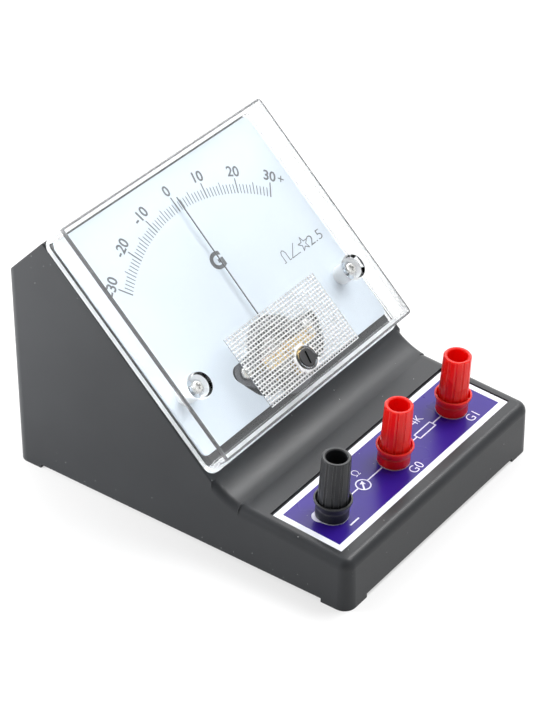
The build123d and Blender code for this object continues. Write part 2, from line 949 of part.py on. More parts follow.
def make_core_spacers():
    # Non-magnetic blocks that carry the core in the gap that the coil never reaches
    ring = tube(yoke_inner_radius, core_radius, core_bottom, core_bottom + spacer_height)
    blocks = []
    for side in (-1, 1):
        reach = yoke_inner_radius + 1
        block = slab(spacer_width, reach, -yoke_height - 2, 0, 0, side * reach / 2)
        blocks.append(on_plane(movement_plane, ring & block))
    return nodes_group(blocks)


def coil_frame(half, thickness, bottom, top, width):
    outer = slab(2 * (half + thickness), width, bottom - thickness, top + thickness)
    return outer - slab(2 * half, width + 2, bottom, top)


def make_coil_former():
    former = coil_frame(
        former_inner_half,
        former_thickness,
        former_inner_bottom,
        former_inner_top,
        former_width,
    )
    return on_movement_turned(former)


def make_coil_winding():
    winding = coil_frame(
        winding_inner_half,
        winding_thickness,
        former_inner_bottom - former_thickness,
        former_inner_top + former_thickness,
        winding_width,
    )
    edges = winding.edges().filter_by(Axis.Y)
    outer_edges = edges.sort_by_distance(winding.center())[-4:]
    return on_movement_turned(fillet(outer_edges, winding_edge_radius))


def on_movement_turned(shape):
    return on_plane(movement_plane, Rot(0, 0, needle_rest_turn) * shape)


def make_upper_pivot():
    return on_movement_turned(
        turned(
            [
                (0, winding_top),
                (hub_radius, winding_top),
                (hub_radius, hub_top),
                (pivot_radius, hub_top),
                (pivot_radius, hub_top + pivot_length - pivot_point),
                (0, hub_top + pivot_length),
            ]
        )
    )


def make_lower_pivot():
    return on_movement_turned(
        turned(
            [
                (0, winding_bottom),
                (hub_radius, winding_bottom),
                (hub_radius, lower_hub_bottom),
                (pivot_radius, lower_hub_bottom),
                (pivot_radius, lower_hub_bottom - pivot_length + pivot_point),
                (0, lower_hub_bottom - pivot_length),
            ]
        )
    )


def jewel_screw(mouth, height):
    # Mouth at the bottom, driver slot on top
    bore = pivot_radius + jewel_clearance
    screw = rod(jewel_screw_radius, mouth, mouth + height)
    screw -= rod(bore, mouth - 1, mouth + pivot_length)
    top = mouth + height
    return screw - slab(3 * jewel_screw_radius, jewel_slot_width, top - jewel_slot_depth, top + 1)


def make_upper_jewel_screw():
    return on_plane(movement_plane, jewel_screw(hub_top + jewel_end_gap, jewel_screw_height))


def make_lower_jewel_screw():
    screw = jewel_screw(-lower_hub_bottom + jewel_end_gap, lower_jewel_height)
    return on_plane(movement_plane, Rot(180, 0, 0) * screw)


def make_bridge_pillars():
    pillars = []
    for side in (-1, 1):
        post = rod(bridge_pillar_radius, frame_flange_thickness, bridge_height, side * bridge_span, 0)
        pillars.append(on_plane(movement_plane, post))
    return nodes_group(pillars)


def make_upper_bridge():
    end = bridge_width / 2
    circles = [(-bridge_span, 0, end), (bridge_span, 0, end)]
    bridge = hull_plate(circles, bridge_height, bridge_top)
    bridge -= rod(jewel_screw_radius + bridge_hole_clearance, 0, bridge_top + 1)
    return on_plane(movement_plane, bridge)


def make_bridge_screws():
    heads = []
    for side in (-1, 1):
        x = side * bridge_span
        head = rod(bridge_screw_head_radius, bridge_top, bridge_top + bridge_screw_head_height, x)
        slot_floor = bridge_top + bridge_screw_slot_floor
        slot_length = 3 * bridge_screw_head_radius
        head -= slab(slot_length, bridge_screw_slot_width, slot_floor, bridge_top + 2, x)
        heads.append(on_plane(movement_plane, head))
    return nodes_group(heads)


def needle_rod(radius, length, turn):
    # A round wire that runs out from the hub at the needle's height
    start = hub_radius
    wire = Pos(0, (start + length) / 2, needle_height) * Rot(90, 0, 0)
    return Rot(0, 0, turn) * (wire * Cylinder(radius, length - start))


def make_pointer():
    half = pointer_ring_thickness / 2
    pointer = tube(pointer_ring_radius, hub_radius, needle_height - half, needle_height + half)
    pointer += needle_rod(needle_radius, needle_length, 0) - rod(hub_radius, 0, 2 * needle_height)
    for turn, length in ((180, tail_length), (90, side_arm_length), (-90, side_arm_length)):
        pointer += needle_rod(tail_radius, length, turn) - rod(hub_radius, 0, 2 * needle_height)
    return pointer


def tail_weight_length():
    # Long enough to balance the needle about the axis
    pointer = make_pointer()
    moment = pointer.volume * pointer.center(CenterOf.MASS).Y * aluminium_density
    section = math.pi * (tail_weight_radius**2 - tail_radius**2) * brass_density
    return moment / (section * tail_weight_distance)


def weight_ring(radius, length, distance, turn):
    ring = Cylinder(radius, length) - Cylinder(tail_radius, length + 1)
    return Rot(0, 0, turn) * (Pos(0, distance, needle_height) * Rot(90, 0, 0) * ring)


def make_balance_weights():
    rings = [weight_ring(tail_weight_radius, tail_weight_length(), tail_weight_distance, 180)]
    for turn in (90, -90):
        distance = side_arm_length - side_weight_length / 2
        rings.append(weight_ring(side_weight_radius, side_weight_length, distance, turn))
    return nodes_group(on_movement_turned(ring) for ring in rings)


def hairspring(bottom):
    # Flat spiral strip from the hub out to its anchor
    steps = int(spring_turns * 12)
    inner = []
    outer = []
    for step in range(steps + 1):
        turn = math.radians(step * 30 - 90)
        share = step / steps
        growth = (spring_outer_radius - spring_inner_radius) * share
        radius = spring_inner_radius + spring_hub_clearance + growth
        inner.append((radius * math.cos(turn), radius * math.sin(turn)))
        outer_radius = radius + spring_strip
        outer.append((outer_radius * math.cos(turn), outer_radius * math.sin(turn)))
    near = Spline(*inner)
    far = Spline(*outer)
    outline = make_face([near, far, Line(inner[0], outer[0]), Line(inner[-1], outer[-1])])
    return Pos(0, 0, bottom) * extrude(outline, amount=spring_height)


def make_upper_hairspring():
    return on_movement_turned(hairspring(hub_top - spring_height))


def make_lower_hairspring():
    return on_movement_turned(hairspring(lower_hub_bottom))


def make_zero_lever():
    top = lever_bottom + lever_thickness
    bore = jewel_screw_radius + turning_clearance
    ring = bore + lever_ring_wall
    slot = 2 * (adjuster_pin_radius + fork_clearance)
    arm_width = slot + 2 * fork_wall
    pin_distance = adjuster_reach + adjuster_pin_throw
    reach = pin_distance + adjuster_pin_radius + fork_tip
    lever = rod(ring, lever_bottom, top)
    lever += slab(arm_width, reach, lever_bottom, top, 0, -reach / 2)
    tab_y = -spring_outer_radius - spring_strip - spring_anchor_gap - lever_thickness / 2
    tab_bottom = hub_top - spring_height
    lever += slab(lever_tab_width, lever_thickness, tab_bottom, top, 0, tab_y)
    lever -= rod(bore, 0, top + 1)
    slot_start = pin_distance - adjuster_pin_radius - fork_root
    slot_length = reach - slot_start + 1
    lever -= slab(slot, slot_length, 0, top + 1, 0, -slot_start - slot_length / 2)
    return on_plane(movement_plane, lever)


def make_movement_tags():
    tags = []
    for side in (-1, 1):
        tag = slab(
            tag_thickness,
            tag_width,
            -frame_depth - tag_length,
            -frame_depth,
            side * tag_offset,
            0,
        )
        tags.append(on_plane(movement_plane, tag))
    return nodes_group(tags)


# Wiring between the movement's tags and the solder lugs

wire_floor_z = base_plate_top + wire_floor_gap


def lug_point(index):
    # Middle of the tongue's lower face, near its end
    x, y = post_places[index]
    end_y = y + lug_length - wire_radius - wire_lug_margin
    return deck_plane.from_local_coords((x, end_y, nut_2_top))


def tag_point(side):
    return movement_plane.from_local_coords((side * tag_offset, 0, -frame_depth - tag_length))


def make_wire(index, side):
    start = tag_point(side)
    end = lug_point(index)
    tail = start - movement_plane.z_dir * wire_tail
    route = [
        start,
        tail,
        Vector(tail.X, tail.Y, wire_floor_z),
        Vector(end.X, end.Y, wire_floor_z - wire_end_dip),
        end,
    ]
    path = FilletPolyline(*route, radius=wire_bend_radius)
    section = Plane(origin=start, z_dir=path % 0) * Circle(wire_radius)
    return sweep(section, path=path)


def resistor_place():
    # Between the tongues of the two right-hand lugs
    lead_y = lug_length - lead_radius - lead_margin
    return Pos(resistor_span / 2, lead_y, (lug_top + nut_2_top) / 2) * Rot(0, 90, 0)


def make_series_resistor():
    body = Cylinder(resistor_radius, resistor_length)
    body = fillet(body.edges().filter_by(GeomType.CIRCLE), resistor_edge_radius)
    return at_post(1, resistor_place() * body)


def make_resistor_leads():
    length = (resistor_span - lug_width - resistor_length) / 2
    middle = (resistor_length + length) / 2
    leads = []
    for side in (-1, 1):
        lead = resistor_place() * (Pos(0, 0, side * middle) * Cylinder(lead_radius, length))
        leads.append(at_post(1, lead))
    return nodes_group(leads)


nodes = {
    "case_shell": make_case_shell(),
    "base_plate": make_base_plate(),
    "base_screws": make_base_screws(),
    "label_plate": make_label_plate(),
    "label_field": make_label_field(),
    "dial_plate": make_dial_plate(),
    "dial_scale": make_dial_scale(),
    "meter_cover": make_meter_cover(),
    "cover_screws": make_cover_screws(),
    "zero_adjuster": make_zero_adjuster(),
    "zero_lever": make_zero_lever(),
    "movement_frame": make_movement_frame(),
    "movement_screws": make_movement_screws(),
    "yoke_ring": make_yoke_ring(),
    "magnet_core": make_magnet_core(),
    "core_spacers": make_core_spacers(),
    "coil_former": make_coil_former(),
    "coil_winding": make_coil_winding(),
    "upper_pivot": make_upper_pivot(),
    "lower_pivot": make_lower_pivot(),
    "upper_hairspring": make_upper_hairspring(),
    "lower_hairspring": make_lower_hairspring(),
    "pointer": on_movement_turned(make_pointer()),
    "balance_weights": make_balance_weights(),
    "upper_jewel_screw": make_upper_jewel_screw(),
    "lower_jewel_screw": make_lower_jewel_screw(),
    "bridge_pillars": make_bridge_pillars(),
    "upper_bridge": make_upper_bridge(),
    "bridge_screws": make_bridge_screws(),
    "movement_tags": make_movement_tags(),
    "post_nuts": make_post_nuts(),
    "post_washers": make_post_washers(),
    "solder_lugs": make_solder_lugs(),
    "series_resistor": make_series_resistor(),
    "resistor_leads": make_resistor_leads(),
    "minus_wire": make_wire(0, -1),
    "g0_wire": make_wire(1, 1),
}
for post_index, post_name in enumerate(post_names):
    post_lift = cap_lifts[post_index]
    nodes["collar_" + post_name] = at_post(post_index, make_collar())
    nodes["stud_" + post_name] = at_post(post_index, make_stud())
    nodes["clamp_washer_" + post_name] = at_post(post_index, make_clamp_washer(post_lift))
    nodes["cap_" + post_name] = at_post(post_index, make_cap(post_lift))
    nodes["cap_insert_" + post_name] = at_post(post_index, make_insert(post_lift))

os.makedirs("parts", exist_ok=True)
for node_name, node_shape in nodes.items():
    export_step(node_shape, "parts/" + node_name + ".step")
print(len(nodes), "nodes written")
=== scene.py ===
import json
import math

import bmesh
import bpy
from mathutils import Matrix, Vector

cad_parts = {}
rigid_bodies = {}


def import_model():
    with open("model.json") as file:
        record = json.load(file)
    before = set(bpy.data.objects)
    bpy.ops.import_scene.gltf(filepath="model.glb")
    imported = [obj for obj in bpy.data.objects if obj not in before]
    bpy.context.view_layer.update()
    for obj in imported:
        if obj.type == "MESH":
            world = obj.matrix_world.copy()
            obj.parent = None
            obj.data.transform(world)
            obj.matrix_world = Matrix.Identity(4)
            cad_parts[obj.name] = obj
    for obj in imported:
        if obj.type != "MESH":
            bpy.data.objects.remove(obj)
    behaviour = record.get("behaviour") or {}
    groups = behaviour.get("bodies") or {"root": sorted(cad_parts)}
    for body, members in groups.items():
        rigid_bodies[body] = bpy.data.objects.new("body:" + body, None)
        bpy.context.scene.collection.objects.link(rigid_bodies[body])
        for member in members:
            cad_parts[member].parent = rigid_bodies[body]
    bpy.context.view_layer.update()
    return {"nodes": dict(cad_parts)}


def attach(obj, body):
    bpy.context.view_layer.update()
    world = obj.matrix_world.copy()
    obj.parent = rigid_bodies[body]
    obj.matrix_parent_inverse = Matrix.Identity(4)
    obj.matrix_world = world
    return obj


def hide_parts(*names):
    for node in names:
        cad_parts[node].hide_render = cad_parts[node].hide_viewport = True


for leftOver in list(bpy.data.objects):
    bpy.data.objects.remove(leftOver, do_unlink=True)

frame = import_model()
nodes = frame["nodes"]
print("frame loaded:", len(nodes), "nodes")


# Faces that pieces are placed on, in metres and degrees

faces = {
    "slopeAngle": 44.0,
    "slopeTop": (0.0, 0.048, 0.0858),
    "deckAngle": 3.8,
    "deckFront": (0.0, -0.064, 0.018),
    "pivotDrop": 68.85,  # mm down the slope to the needle's axis
    "postRow": 17.5,  # mm from the deck's front edge
}


def faceMatrix(origin, angle):
    # millimetres on a sloping face: x to the right, y up the face, z out of it
    turn = Matrix.Rotation(math.radians(angle), 4, "X")
    return Matrix.Translation(origin) @ turn @ Matrix.Scale(0.001, 4)


slopeMatrix = faceMatrix(faces["slopeTop"], faces["slopeAngle"])
deckMatrix = faceMatrix(faces["deckFront"], faces["deckAngle"])
pivotMatrix = slopeMatrix @ Matrix.Translation((0, -faces["pivotDrop"], 0))


# Building blocks for node trees


def addNode(tree, kind, inputs=None, **settings):
    node = tree.nodes.new(kind)
    for key, value in settings.items():
        setattr(node, key, value)
    for key, value in (inputs or {}).items():
        if isinstance(value, bpy.types.NodeSocket):
            tree.links.new(value, node.inputs[key])
        else:
            node.inputs[key].default_value = value
    return node


def mathNode(tree, operation, first, second=0.0, clamp=False):
    inputs = {0: first, 1: second}
    return addNode(tree, "ShaderNodeMath", inputs, operation=operation, use_clamp=clamp).outputs[0]


def mapRange(tree, value, low, high, newLow, newHigh, smooth=False):
    inputs = {"Value": value, "From Min": low, "From Max": high, "To Min": newLow, "To Max": newHigh}
    kind = "SMOOTHSTEP" if smooth else "LINEAR"
    return addNode(tree, "ShaderNodeMapRange", inputs, interpolation_type=kind).outputs["Result"]


def mixColour(tree, share, first, second):
    node = addNode(tree, "ShaderNodeMix", data_type="RGBA")
    for index, value in ((0, share), (6, first), (7, second)):
        if isinstance(value, bpy.types.NodeSocket):
            tree.links.new(value, node.inputs[index])
        elif index == 0:
            node.inputs[index].default_value = value
        else:
            node.inputs[index].default_value = (*value, 1.0)
    return node.outputs[2]


def newGroup(name, inputs, outputs):
    tree = bpy.data.node_groups.new(name, "ShaderNodeTree")
    for label, kind, value in inputs:
        socket = tree.interface.new_socket(label, in_out="INPUT", socket_type=kind)
        if value is not None:
            socket.default_value = value
    for label in outputs:
        tree.interface.new_socket(label, in_out="OUTPUT", socket_type="NodeSocketFloat")
    start = tree.nodes.new("NodeGroupInput").outputs
    end = tree.nodes.new("NodeGroupOutput").inputs
    return tree, start, end


def useGroup(tree, group, inputs):
    node = addNode(tree, "ShaderNodeGroup", node_tree=group)
    for key, value in inputs.items():
        if isinstance(value, bpy.types.NodeSocket):
            tree.links.new(value, node.inputs[key])
        else:
            node.inputs[key].default_value = value
    return node.outputs


# Effects that several materials share


def makeDustGroup():
    # small pale specks, thinly strewn
    tree, start, end = newGroup(
        "strewnDust",
        [
            ("Vector", "NodeSocketVector", None),
            ("Cells", "NodeSocketFloat", 700.0),
            ("Share", "NodeSocketFloat", 0.05),
            ("Size", "NodeSocketFloat", 0.12),
        ],
        ["Mask"],
    )
    cells = addNode(tree, "ShaderNodeTexVoronoi", {"Vector": start["Vector"], "Scale": start["Cells"]})
    split = addNode(tree, "ShaderNodeSeparateColor", {0: cells.outputs["Color"]})
    chosen = mathNode(tree, "LESS_THAN", split.outputs[0], start["Share"])
    spread = mathNode(tree, "MULTIPLY", start["Size"], mathNode(tree, "ADD", split.outputs[1], 0.35))
    spot = mathNode(tree, "LESS_THAN", cells.outputs["Distance"], spread)
    tree.links.new(mathNode(tree, "MULTIPLY", chosen, spot), end["Mask"])
    return tree


def makeGrainGroup():
    # fine moulding grain and a slow drift of tone
    tree, start, end = newGroup(
        "mouldedGrain",
        [
            ("Vector", "NodeSocketVector", None),
            ("Grain", "NodeSocketFloat", 2200.0),
            ("Drift", "NodeSocketFloat", 22.0),
        ],
        ["Height", "Tone"],
    )
    inputs = {"Vector": start["Vector"], "Scale": start["Grain"], "Detail": 3.0, "Roughness": 0.6}
    fine = addNode(tree, "ShaderNodeTexNoise", inputs)
    inputs = {"Vector": start["Vector"], "Scale": start["Drift"], "Detail": 4.0, "Roughness": 0.55}
    broad = addNode(tree, "ShaderNodeTexNoise", inputs)
    tree.links.new(fine.outputs[0], end["Height"])
    tree.links.new(mapRange(tree, broad.outputs[0], 0.32, 0.68, 0.0, 1.0), end["Tone"])
    return tree


def makeEdgeGroup():
    # the rubbed edge of a moulding: partly real wear, partly a painted highlight along the edge
    tree, start, end = newGroup(
        "rubbedEdgeHighlight",
        [
            ("Vector", "NodeSocketVector", None),
            ("Radius", "NodeSocketFloat", 0.0006),
            ("Amount", "NodeSocketFloat", 0.5),
        ],
        ["Mask"],
    )
    rounded = addNode(tree, "ShaderNodeBevel", {"Radius": start["Radius"]}, samples=4)
    sharp = addNode(tree, "ShaderNodeNewGeometry")
    inputs = {0: rounded.outputs[0], 1: sharp.outputs["Normal"]}
    facing = addNode(tree, "ShaderNodeVectorMath", inputs, operation="DOT_PRODUCT").outputs["Value"]
    edge = mapRange(tree, facing, 0.995, 0.86, 0.0, 1.0)
    inputs = {"Vector": start["Vector"], "Scale": 260.0, "Detail": 3.0}
    broken = addNode(tree, "ShaderNodeTexNoise", inputs).outputs[0]
    broken = mapRange(tree, broken, 0.3, 0.65, 0.35, 1.0)
    wornAndLit = mathNode(tree, "MULTIPLY", mathNode(tree, "MULTIPLY", edge, broken), start["Amount"], True)
    tree.links.new(wornAndLit, end["Mask"])
    return tree


strewnDust = makeDustGroup()
mouldedGrain = makeGrainGroup()
rubbedEdgeHighlight = makeEdgeGroup()


# Materials


def newMaterial(name):
    material = bpy.data.materials.new(name)
    material.use_nodes = True
    tree = material.node_tree
    shader = tree.nodes["Principled BSDF"]
    place = addNode(tree, "ShaderNodeTexCoord").outputs["Object"]
    return material, tree, shader, place


def setShader(shader, values):
    for key, value in values.items():
        shader.inputs[key].default_value = value


def mouldedPlastic(name, look):
    # plastic with a moulded grain, rubbed edges that are partly a painted highlight, and a little dust
    material, tree, shader, place = newMaterial(name)
    inputs = {"Vector": place, "Grain": look.get("grain", 2200.0), "Drift": look.get("drift", 22.0)}
    grain = useGroup(tree, mouldedGrain, inputs)
    colour = mixColour(tree, grain["Tone"], look["low"], look["high"])
    # edge colour: lighter on edges, partly wear and partly a painted highlight
    if look.get("edge"):
        inputs = {"Vector": place, "Radius": look["edgeRadius"], "Amount": look["edgeAmount"]}
        colour = mixColour(tree, useGroup(tree, rubbedEdgeHighlight, inputs)["Mask"], colour, look["edge"])
    if look.get("dust"):
        inputs = {"Vector": place, "Cells": look.get("dustCells", 700.0), "Share": look["dust"]}
        dust = useGroup(tree, strewnDust, inputs)["Mask"]
        dust = mathNode(tree, "MULTIPLY", dust, look.get("dustCover", 0.7))
        colour = mixColour(tree, dust, colour, (0.62, 0.63, 0.64))
    tree.links.new(colour, shader.inputs["Base Color"])
    rough = mapRange(tree, grain["Tone"], 0.0, 1.0, look["rough"][0], look["rough"][1])
    tree.links.new(rough, shader.inputs["Roughness"])
    inputs = {"Height": grain["Height"], "Strength": look.get("bump", 0.2), "Distance": 0.0001}
    tree.links.new(addNode(tree, "ShaderNodeBump", inputs).outputs[0], shader.inputs["Normal"])
    setShader(shader, look.get("shader", {}))
    return material


def drawnMetal(name, look):
    # metal with fine working marks and slight tarnish
    material, tree, shader, place = newMaterial(name)
    stretched = addNode(tree, "ShaderNodeMapping", {"Vector": place, "Scale": look.get("marks", (900, 900, 90))})
    marks = addNode(tree, "ShaderNodeTexNoise", {"Vector": stretched.outputs[0], "Scale": 4.0, "Detail": 4.0})
    grain = useGroup(tree, mouldedGrain, {"Vector": place, "Grain": 3000.0, "Drift": 180.0})
    colour = mixColour(tree, grain["Tone"], look["low"], look["high"])
    tree.links.new(colour, shader.inputs["Base Color"])
    rough = mapRange(tree, marks.outputs[0], 0.3, 0.7, look["rough"][0], look["rough"][1])
    tree.links.new(rough, shader.inputs["Roughness"])
    inputs = {"Height": marks.outputs[0], "Strength": look.get("bump", 0.15), "Distance": 0.00005}
    tree.links.new(addNode(tree, "ShaderNodeBump", inputs).outputs[0], shader.inputs["Normal"])
    setShader(shader, {"Metallic": 1.0, **look.get("shader", {})})
    return material


plastics = {
    "casePlastic": {
        "low": (0.022, 0.0235, 0.026),
        "high": (0.028, 0.03, 0.033),
        "edge": (0.13, 0.135, 0.14),
        "edgeRadius": 0.0006,
        "edgeAmount": 0.3,
        "dust": 0.022,
        "dustCells": 1100.0,
        "dustCover": 0.6,
        "rough": (0.3, 0.38),
        "bump": 0.2,
        "shader": {"Specular IOR Level": 0.22},
    },
    "basePlastic": {"low": (0.02, 0.02, 0.022), "high": (0.03, 0.03, 0.032), "rough": (0.5, 0.62)},
    "framePlastic": {"low": (0.06, 0.063, 0.07), "high": (0.085, 0.09, 0.1), "rough": (0.35, 0.5)},
    "blackPlastic": {
        "low": (0.014, 0.015, 0.017),
        "high": (0.02, 0.021, 0.024),
        "edge": (0.2, 0.2, 0.2),
        "edgeRadius": 0.00035,
        "edgeAmount": 0.5,
        "dust": 0.03,
        "rough": (0.25, 0.36),
        "bump": 0.12,
        "shader": {"Specular IOR Level": 0.3},
    },
    "redPlastic": {
        "low": (0.66, 0.006, 0.004),
        "high": (0.78, 0.01, 0.006),
        "edge": (0.95, 0.12, 0.08),
        "edgeRadius": 0.0004,
        "edgeAmount": 0.6,
        "rough": (0.2, 0.3),
        "bump": 0.08,
        "shader": {
            "Specular IOR Level": 0.3,
            "Subsurface Weight": 0.6,
            "Subsurface Radius": (1.0, 0.05, 0.03),
            "Subsurface Scale": 0.006,
        },
    },
    "adjusterPlastic": {
        "low": (0.02, 0.02, 0.022),
        "high": (0.028, 0.029, 0.032),
        "edge": (0.1, 0.1, 0.1),
        "edgeRadius": 0.0003,
        "edgeAmount": 0.4,
        "rough": (0.3, 0.42),
    },
    "labelWhite": {"low": (0.76, 0.78, 0.86), "high": (0.82, 0.84, 0.92), "rough": (0.28, 0.36), "bump": 0.05},
    "labelViolet": {
        "low": (0.022, 0.006, 0.19),
        "high": (0.028, 0.008, 0.22),
        "dust": 0.03,
        "dustCells": 900.0,
        "dustCover": 0.35,
        "rough": (0.22, 0.3),
        "bump": 0.04,
        "shader": {"Specular IOR Level": 0.22},
    },
    "labelInk": {"low": (0.72, 0.7, 0.88), "high": (0.8, 0.78, 0.95), "rough": (0.35, 0.4), "bump": 0.02},
    "dialEnamel": {
        "low": (0.525, 0.578, 0.635),
        "high": (0.55, 0.605, 0.665),
        "drift": 30.0,
        "rough": (0.4, 0.5),
        "bump": 0.03,
    },
    "dialInk": {"low": (0.055, 0.058, 0.064), "high": (0.075, 0.08, 0.087), "rough": (0.45, 0.5), "bump": 0.02},
    "needleBlack": {"low": (0.1, 0.103, 0.108), "high": (0.13, 0.133, 0.14), "rough": (0.4, 0.5)},
    "windingCopper": {
        "low": (0.42, 0.14, 0.05),
        "high": (0.58, 0.22, 0.09),
        "grain": 5000.0,
        "rough": (0.25, 0.4),
        "bump": 0.5,
        "shader": {"Metallic": 0.7},
    },
    "resistorLacquer": {"low": (0.3, 0.5, 0.56), "high": (0.36, 0.56, 0.62), "rough": (0.2, 0.3)},
    "wireBlack": {"low": (0.02, 0.02, 0.02), "high": (0.03, 0.03, 0.03), "rough": (0.4, 0.5)},
    "wireRed": {"low": (0.45, 0.02, 0.015), "high": (0.55, 0.03, 0.02), "rough": (0.4, 0.5)},
}
metals = {
    "screwSteel": {"low": (0.56, 0.56, 0.55), "high": (0.68, 0.68, 0.67), "rough": (0.2, 0.38)},
    "tinnedMetal": {"low": (0.62, 0.62, 0.6), "high": (0.74, 0.73, 0.71), "rough": (0.18, 0.34)},
    "springBrass": {"low": (0.68, 0.48, 0.19), "high": (0.8, 0.6, 0.28), "rough": (0.2, 0.35)},
    "yokeIron": {"low": (0.42, 0.42, 0.42), "high": (0.52, 0.52, 0.51), "rough": (0.3, 0.45)},
    "magnetAlloy": {"low": (0.24, 0.24, 0.24), "high": (0.32, 0.31, 0.3), "rough": (0.35, 0.55), "bump": 0.3},
    "aluminium": {"low": (0.74, 0.75, 0.77), "high": (0.84, 0.85, 0.86), "rough": (0.22, 0.36)},
}
finishes = {name: mouldedPlastic(name, look) for name, look in plastics.items()}
finishes.update({name: drawnMetal(name, look) for name, look in metals.items()})

clearLook = {
    "tint": (0.985, 0.992, 0.995, 1.0),
    "ior": 1.49,
    "rough": 0.012,
    "waves": 60.0,  # slow waviness of the moulding, per metre
    "waveBump": 0.02,
    "trappedAfter": 6.5,  # bounces after which rays caught in the walls get a painted white glow
    "paintedGlow": 0.5,
}
# painted white for the pit sides, the walls' feet and the wells' walls, standing in for bright room light
# refracted through the clear moulding
paintedWhiteLook = {
    "white": (0.96, 0.97, 0.98, 1.0),
    "rough": 0.4,
    "clearShare": 0.15,
}
# painted grey for the cover's front edge, a painted shade standing in for the dark case refracted through it
paintedGreyLook = {
    "white": (0.16, 0.162, 0.168, 1.0),
    "rough": 0.12,
    "clearShare": 0.45,
}


def clearPlastic(name, look):
    # clear moulding, with light let through to what is under it, and a painted white glow where rays stay caught
    # in its walls
    material, tree, shader, place = newMaterial(name)
    setShader(
        shader,
        {
            "Base Color": look["tint"],
            "IOR": look["ior"],
            "Roughness": look["rough"],
            "Transmission Weight": 1.0,
        },
    )
    waves = addNode(tree, "ShaderNodeTexNoise", {"Vector": place, "Scale": look["waves"], "Detail": 1.0})
    inputs = {"Height": waves.outputs[0], "Strength": look["waveBump"], "Distance": 0.001}
    tree.links.new(addNode(tree, "ShaderNodeBump", inputs).outputs[0], shader.inputs["Normal"])
    path = addNode(tree, "ShaderNodeLightPath").outputs
    paintedGlowMask = mathNode(tree, "GREATER_THAN", path["Ray Depth"], look["trappedAfter"])
    unscattered = mathNode(tree, "LESS_THAN", path["Diffuse Depth"], 0.5)
    paintedGlowMask = mathNode(tree, "MULTIPLY", paintedGlowMask, unscattered)
    # painted glow: an emission standing in for bright room light that the walls would carry
    glow = addNode(tree, "ShaderNodeEmission", {"Color": (1, 1, 1, 1), "Strength": look["paintedGlow"]})
    kept = addNode(tree, "ShaderNodeMixShader", {0: paintedGlowMask, 1: shader.outputs[0], 2: glow.outputs[0]})
    clear = addNode(tree, "ShaderNodeBsdfTransparent", {"Color": (0.93, 0.95, 0.96, 1.0)})
    inputs = {0: path["Is Shadow Ray"], 1: kept.outputs[0], 2: clear.outputs[0]}
    mix = addNode(tree, "ShaderNodeMixShader", inputs)
    tree.links.new(mix.outputs[0], tree.nodes["Material Output"].inputs["Surface"])
    return material


def frostedPlastic(name, look):
    # the same moulding with a rough painted colour: white stands in for bright room light refracted through it,
    # grey for the dark case refracted through it
    material, tree, shader, place = newMaterial(name)
    grain = addNode(tree, "ShaderNodeTexNoise", {"Vector": place, "Scale": 900.0, "Detail": 2.0})
    shade = look["white"][:3]
    lighter = tuple(min(1.0, 1.06 * channel) for channel in shade)
    colour = mixColour(tree, grain.outputs[0], shade, lighter)
    tree.links.new(colour, shader.inputs["Base Color"])
    setShader(
        shader,
        {"Roughness": look["rough"], "IOR": 1.49, "Transmission Weight": look["clearShare"]},
    )
    shadow = addNode(tree, "ShaderNodeLightPath").outputs["Is Shadow Ray"]
    clear = addNode(tree, "ShaderNodeBsdfTransparent", {"Color": (0.8, 0.81, 0.82, 1.0)})
    mix = addNode(tree, "ShaderNodeMixShader", {0: shadow, 1: shader.outputs[0], 2: clear.outputs[0]})
    tree.links.new(mix.outputs[0], tree.nodes["Material Output"].inputs["Surface"])
    return material


finishes["clearPlastic"] = clearPlastic("clearPlastic", clearLook)
finishes["paintedGreyEdge"] = frostedPlastic("paintedGreyEdge", paintedGreyLook)
finishes["frostedPlastic"] = frostedPlastic("frostedPlastic", paintedWhiteLook)

nodeFinishes = {
    "casePlastic": ["case_shell"],
    "basePlastic": ["base_plate"],
    "framePlastic": ["movement_frame"],
    "blackPlastic": ["collar_minus", "cap_minus"],
    "redPlastic": ["collar_g0", "collar_g1", "cap_g0", "cap_g1"],
    "adjusterPlastic": ["zero_adjuster"],
    "labelWhite": ["label_plate"],
    "labelViolet": ["label_field"],
    "dialEnamel": ["dial_plate"],
    "dialInk": ["dial_scale"],
    "needleBlack": ["pointer"],
    "windingCopper": ["coil_winding"],
    "resistorLacquer": ["series_resistor"],
    "wireBlack": ["minus_wire"],
    "wireRed": ["g0_wire"],
    "screwSteel": ["base_screws", "cover_screws", "movement_screws", "bridge_screws"],
    "tinnedMetal": [
        "post_nuts",
        "post_washers",
        "solder_lugs",
        "movement_tags",
        "resistor_leads",
        "stud_minus",
        "stud_g0",
        "stud_g1",
        "clamp_washer_minus",
        "clamp_washer_g0",
        "clamp_washer_g1",
    ],
    "springBrass": [
        "zero_lever",
        "core_spacers",
        "bridge_pillars",
        "upper_hairspring",
        "lower_hairspring",
        "balance_weights",
        "upper_jewel_screw",
        "lower_jewel_screw",
        "upper_bridge",
        "cap_insert_minus",
        "cap_insert_g0",
        "cap_insert_g1",
    ],
    "yokeIron": ["yoke_ring", "upper_pivot", "lower_pivot"],
    "magnetAlloy": ["magnet_core"],
    "aluminium": ["coil_former"],
    "clearPlastic": ["meter_cover"],
}


def assignFinish(thing, finish):
    thing.data.materials.clear()
    thing.data.materials.append(finishes[finish])


for finish, names in nodeFinishes.items():
    for name in names:
        assignFinish(nodes[name], finish)
dressed = sum(len(names) for names in nodeFinishes.values())
print("materials assigned to", dressed, "of", len(nodes), "nodes")


# Printed marks: flat lettering and lines with a hair of thickness


def printShape(mesh, matrix):
    # one closed mesh for each print, moved to its place
    shape = bmesh.new()
    shape.from_mesh(mesh)
    bmesh.ops.remove_doubles(shape, verts=shape.verts, dist=0.0001)
    shape.transform(matrix)
    return shape


